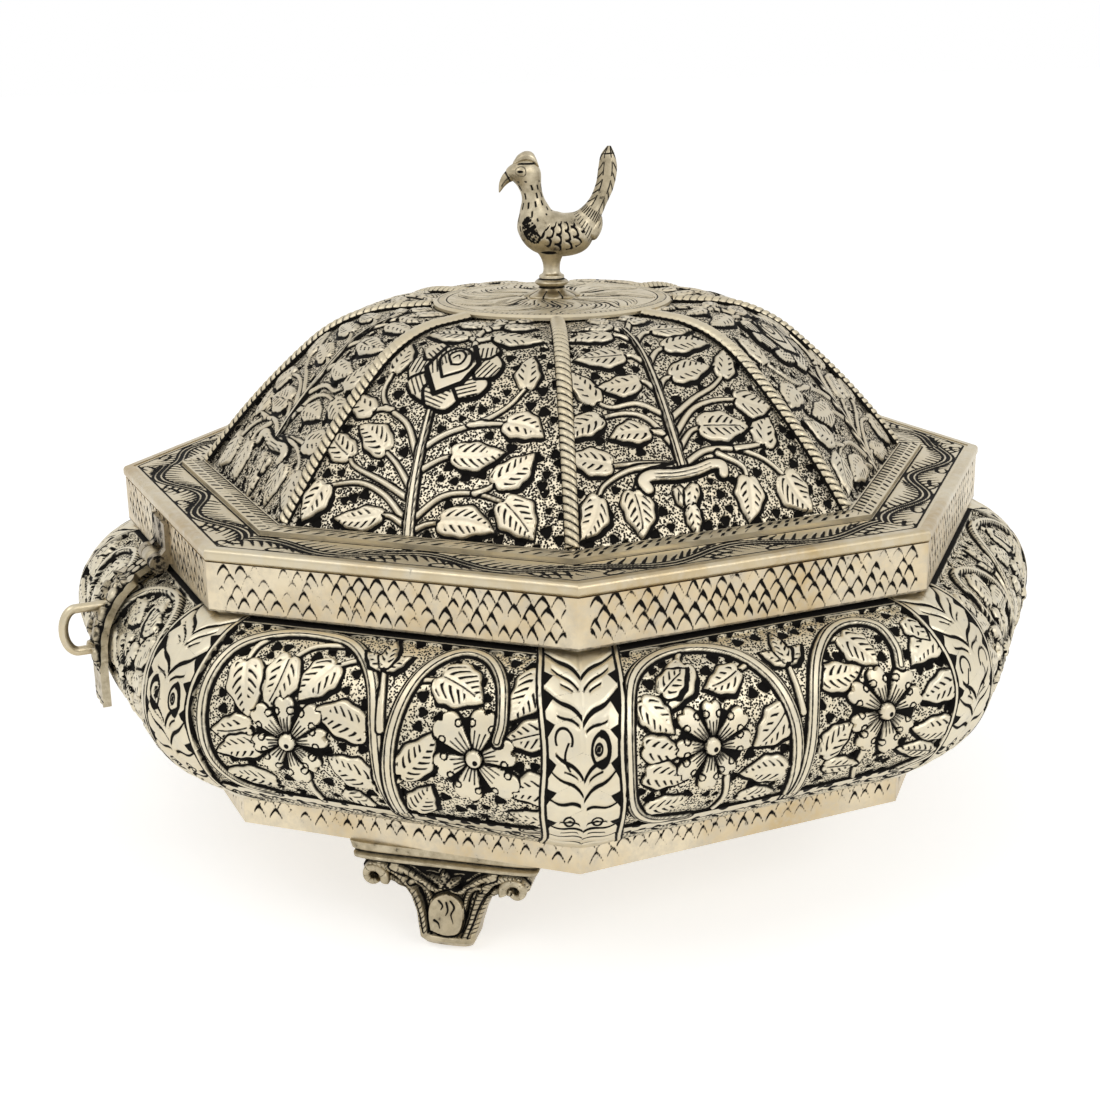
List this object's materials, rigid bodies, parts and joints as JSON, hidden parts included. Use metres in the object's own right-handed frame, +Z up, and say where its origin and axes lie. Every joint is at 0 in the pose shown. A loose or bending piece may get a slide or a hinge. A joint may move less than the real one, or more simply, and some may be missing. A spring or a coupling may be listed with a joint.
{
  "type": "octagonal lidded box",
  "caption": "Octagonal bulged metal box with a hinged domed lid, bird finial, hasp with a sliding wire pin and scroll feet; keeps small dry goods.",
  "frame": {"origin": "on the table plane under the feet, in the middle of the whole outline, clasp included; the octagon's upright axis stands 4.65 mm from it on the +Y side", "axes": "+Z up; the hasp is on the -Y side, the lid hinge on the +Y side, +X to the right when facing the hasp from outside"},
  "size_m": [0.19, 0.1993, 0.1364],
  "materials": {
    "chased_sheet": "aged silver or white-metal sheet, chased, black in the recesses",
    "cast_silver": "cast and chased silver or white metal, worn",
    "plain_wire": "plain drawn wire, satin"
  },
  "bodies": {
    "box": {"body_panel_right": "chased_sheet", "body_panel_back_right": "chased_sheet", "body_panel_back": "chased_sheet", "body_panel_back_left": "chased_sheet", "body_panel_left": "chased_sheet", "body_panel_front_left": "chased_sheet", "body_panel_front": "chased_sheet", "body_panel_front_right": "chased_sheet", "neck_collar": "chased_sheet", "base_band": "chased_sheet", "floor_plate": "chased_sheet", "foot_front": "cast_silver", "foot_back": "cast_silver", "foot_left": "cast_silver", "hinge_leaf_body": "cast_silver", "hinge_pin": "plain_wire"},
    "lid": {"lid_flange": "chased_sheet", "lid_edge_bead": "chased_sheet", "lid_skirt": "chased_sheet", "dome_border": "chased_sheet", "dome_panel_right": "chased_sheet", "dome_panel_back_right": "chased_sheet", "dome_panel_back": "chased_sheet", "dome_panel_back_left": "chased_sheet", "dome_panel_left": "chased_sheet", "dome_panel_front_left": "chased_sheet", "dome_panel_front": "chased_sheet", "dome_panel_front_right": "chased_sheet", "dome_rib_1": "chased_sheet", "dome_rib_2": "chased_sheet", "dome_rib_3": "chased_sheet", "dome_rib_4": "chased_sheet", "dome_rib_5": "chased_sheet", "dome_rib_6": "chased_sheet", "dome_rib_7": "chased_sheet", "dome_rib_8": "chased_sheet", "top_medallion": "chased_sheet", "finial_knop": "cast_silver", "finial_washer": "plain_wire", "finial_nut": "plain_wire", "bird_finial": "cast_silver", "hinge_leaf_lid": "cast_silver", "hasp_lugs": "cast_silver", "hasp_pin": "plain_wire"},
    "hasp": {"hasp_strap": "cast_silver"},
    "locking_pin": {"wire_locking_pin": "plain_wire"}
  },
  "joints": [
    {"name": "lid_hinge", "type": "hinge", "parent": "box", "child": "lid", "pos_m": [0, 0.08995, 0.0626], "axis": [-1, 0, 0], "range_deg": [0, 95]},
    {"name": "hasp_hinge", "type": "hinge", "parent": "lid", "child": "hasp", "pos_m": [0, -0.08065, 0.0626], "axis": [-1, 0, 0], "range_deg": [0, 120]},
    {"name": "pin_slide", "type": "slide", "parent": "hasp", "child": "locking_pin", "axis": [0, 1, 0], "range_m": [0, 0.0035]}
  ]
}
